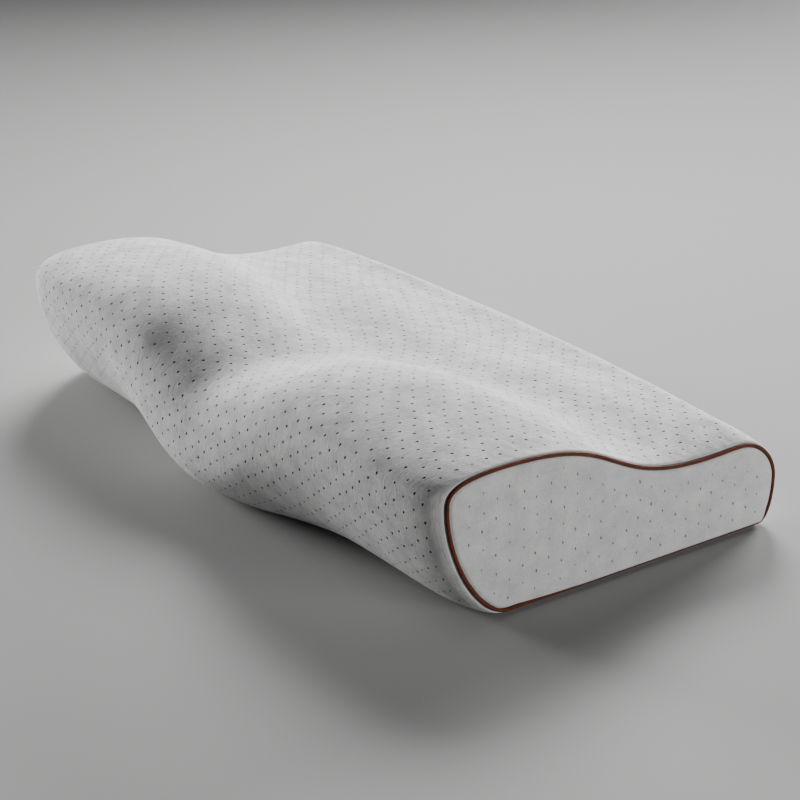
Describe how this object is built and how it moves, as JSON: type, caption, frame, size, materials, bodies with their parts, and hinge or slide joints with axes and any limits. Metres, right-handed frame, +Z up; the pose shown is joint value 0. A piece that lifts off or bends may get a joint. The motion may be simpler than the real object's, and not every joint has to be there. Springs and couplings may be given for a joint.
{
  "type": "contour memory foam pillow",
  "caption": "Winged contour pillow with a head cradle, a rounded neck lobe and a flat back shelf, in a pinholed grey knitted cover with piped end panels.",
  "frame": {"origin": "middle of the underside, on the surface that the pillow lies on", "axes": "+X along the length towards the right end, +Y towards the back edge, +Z up"},
  "size_m": [0.5, 0.3, 0.108],
  "materials": {
    "knit_cover": "matt knitted cover, evenly pinholed",
    "knit_end_panel": "matt knitted panel, finely pinholed",
    "piping": "russet woven piping"
  },
  "bodies": {
    "root": {"cover_body": "knit_cover", "end_panel_right": "knit_end_panel", "end_panel_left": "knit_end_panel", "piping_right": "piping", "piping_left": "piping"}
  },
  "joints": []
}
